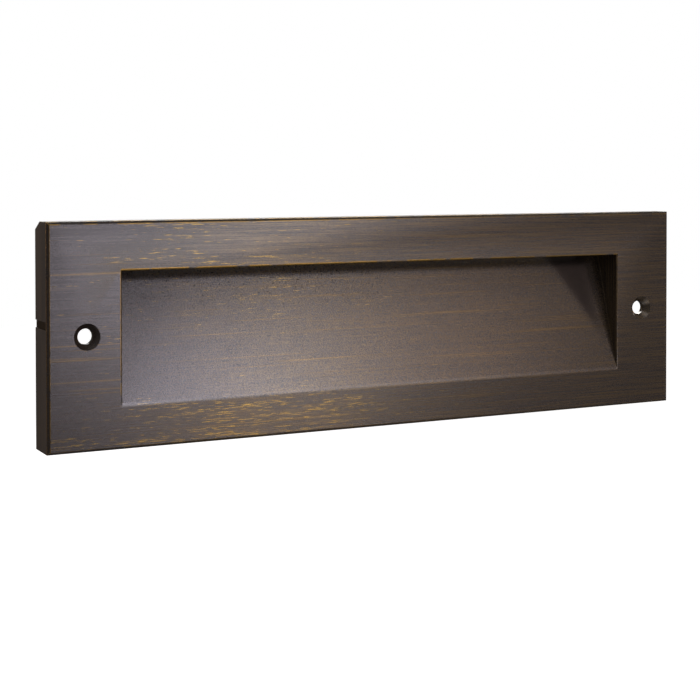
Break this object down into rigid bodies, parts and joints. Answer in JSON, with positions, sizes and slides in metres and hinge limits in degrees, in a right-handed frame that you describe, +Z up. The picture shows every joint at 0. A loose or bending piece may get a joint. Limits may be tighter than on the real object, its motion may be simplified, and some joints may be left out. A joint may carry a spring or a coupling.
{
  "type": "step light",
  "caption": "Low surface-mounted outdoor step light: a bronzed brass casting with a sloped scoop lit from above, closed by a plate at the back.",
  "frame": {"origin": "middle of the rear face that lies on the wall", "axes": "+X along the light to the right as it is seen, +Y into the wall, +Z up"},
  "size_m": [0.254, 0.014, 0.0762],
  "materials": {
    "bronzed_brass": "antique bronze patina over brass, brushed along the length, worn bright on the edges",
    "satin_brass": "satin sheet brass",
    "stainless_steel": "bright stainless",
    "aluminium": "extruded, satin",
    "frosted_lens": "frosted acrylic",
    "black_silicone": "matt silicone rubber",
    "thermal_pad": "soft grey silicone pad",
    "white_board": "white solder mask",
    "green_board": "green solder mask",
    "led_phosphor": "yellow phosphor in a white package",
    "white_nylon": "moulded nylon",
    "black_epoxy": "moulded epoxy",
    "blue_varnish": "dipped varnish",
    "ferrite": "pressed ferrite",
    "capacitor_can": "drawn can",
    "ceramic_fuse": "glazed tube",
    "red_lead": "silicone insulation",
    "black_lead": "silicone insulation",
    "fish_paper": "varnished insulating sheet"
  },
  "bodies": {
    "root": {"board_rivets": "aluminium", "body_casting": "bronzed_brass", "bridge_rectifier": "black_epoxy", "chip_resistors": "black_epoxy", "closing_plate": "satin_brass", "driver_board": "green_board", "driver_board_screws": "stainless_steel", "driver_chip": "black_epoxy", "inductor": "ferrite", "input_capacitor": "capacitor_can", "input_fuse": "ceramic_fuse", "input_terminal": "white_nylon", "insulating_sheet": "fish_paper", "jumper_lead_negative": "black_lead", "jumper_lead_positive": "red_lead", "lead_connectors": "white_nylon", "lead_grommet": "black_silicone", "lead_slot_plug": "black_silicone", "led_board_left": "white_board", "led_board_right": "white_board", "led_carrier_left": "aluminium", "led_carrier_right": "aluminium", "led_lead_negative": "black_lead", "led_lead_positive": "red_lead", "led_packages": "led_phosphor", "lens": "frosted_lens", "lens_gasket": "black_silicone", "output_capacitor": "capacitor_can", "output_terminal": "white_nylon", "plate_gasket": "black_silicone", "plate_screws": "stainless_steel", "surge_suppressor": "blue_varnish", "thermal_pad_left": "thermal_pad", "thermal_pad_right": "thermal_pad"}
  },
  "joints": []
}
